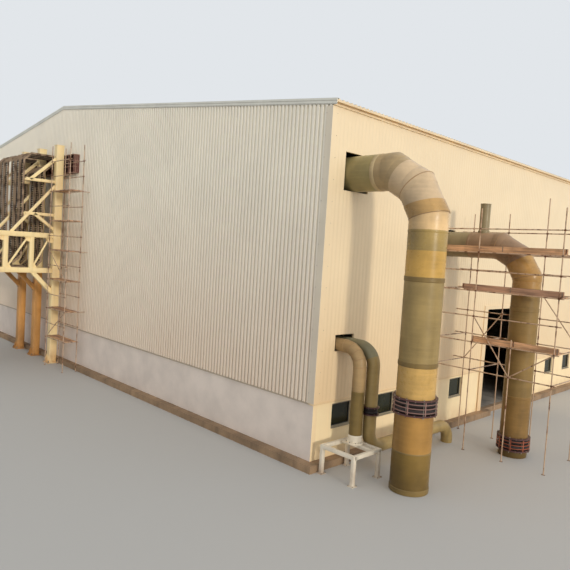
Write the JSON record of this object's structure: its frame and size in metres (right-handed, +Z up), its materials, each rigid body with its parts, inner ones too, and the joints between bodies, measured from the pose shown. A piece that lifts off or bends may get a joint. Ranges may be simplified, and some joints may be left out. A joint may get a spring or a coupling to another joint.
{
  "type": "desalination plant hall, 1:2 scale model",
  "caption": "Long steel-framed hall with ribbed cladding, a pale plinth, mitred pipes down one side, and a cable rack and scaffolds on the gable.",
  "frame": {"origin": "on the ground, under the centre of the hall's floor slab", "axes": "+Z up; the gable with the rack looks along -Y; the long wall with the pipes looks along +X; the ridge runs along Y"},
  "size_m": [27.935, 22.45, 8.696],
  "materials": {
    "concrete": "cast, slightly rough",
    "plinth": "smooth painted precast panel",
    "cladding": "coated ribbed sheet, satin",
    "roof_sheet": "coated ribbed sheet, satin",
    "flashing": "folded coated sheet",
    "dark_trim": "folded coated sheet",
    "white_trim": "satin paint",
    "window_glass": "dark green tint",
    "frame_steel": "primer paint, matt",
    "galvanised": "galvanised, dusty",
    "pipe_laminate": "wound glass fibre laminate, satin",
    "coupling_steel": "dark maroon paint on flanges, bellows and rods",
    "coupling_rubber": "matt",
    "white_steel": "white paint, dusty",
    "rack_steel": "cream paint",
    "entry_steel": "maroon primer",
    "scaffold_tube": "rusty galvanised tube",
    "scaffold_board": "weathered plank"
  },
  "bodies": {
    "root": {"ground_beam": "concrete", "floor_slab": "concrete", "gable_plinth_walls": "plinth", "left_plinth_wall": "plinth", "right_plinth_wall_near": "plinth", "right_plinth_wall_far": "plinth", "front_cladding": "cladding", "rear_cladding": "cladding", "left_cladding": "cladding", "right_cladding_near": "cladding", "right_cladding_over_door": "cladding", "right_cladding_far": "cladding", "roof_right": "roof_sheet", "roof_left": "roof_sheet", "ridge_cap": "flashing", "verge_trims": "flashing", "eave_trims": "flashing", "corner_trims": "flashing", "plinth_drips": "dark_trim", "doorway_trim": "white_trim", "window_frames": "white_trim", "window_glass": "window_glass", "portal_columns": "frame_steel", "right_rafters": "frame_steel", "left_rafters": "frame_steel", "gable_posts": "frame_steel", "purlins": "galvanised", "wall_girts": "galvanised", "gable_girts": "galvanised", "large_pipe_bend": "pipe_laminate", "large_pipe_riser": "pipe_laminate", "large_pipe_coupling": "coupling_steel", "large_pipe_base_spool": "pipe_laminate", "second_pipe_bend": "pipe_laminate", "second_pipe_riser": "pipe_laminate", "second_pipe_coupling": "coupling_steel", "second_pipe_base_spool": "pipe_laminate", "front_small_pipe": "pipe_laminate", "rear_small_pipe": "pipe_laminate", "small_pipe_coupling": "coupling_rubber", "pipe_support_frame": "white_steel", "rack_columns": "rack_steel", "rack_trusses": "rack_steel", "rack_brackets": "rack_steel", "rack_cross_beams": "rack_steel", "cable_ladders": "galvanised", "cable_entry_frame": "entry_steel", "rack_scaffold_front_side": "scaffold_tube", "rack_scaffold_back_side": "scaffold_tube", "rack_scaffold_boards": "scaffold_board", "access_scaffold_front_side": "scaffold_tube", "access_scaffold_back_side": "scaffold_tube", "access_scaffold_boards": "scaffold_board", "scaffold_transoms": "scaffold_tube"}
  },
  "joints": []
}
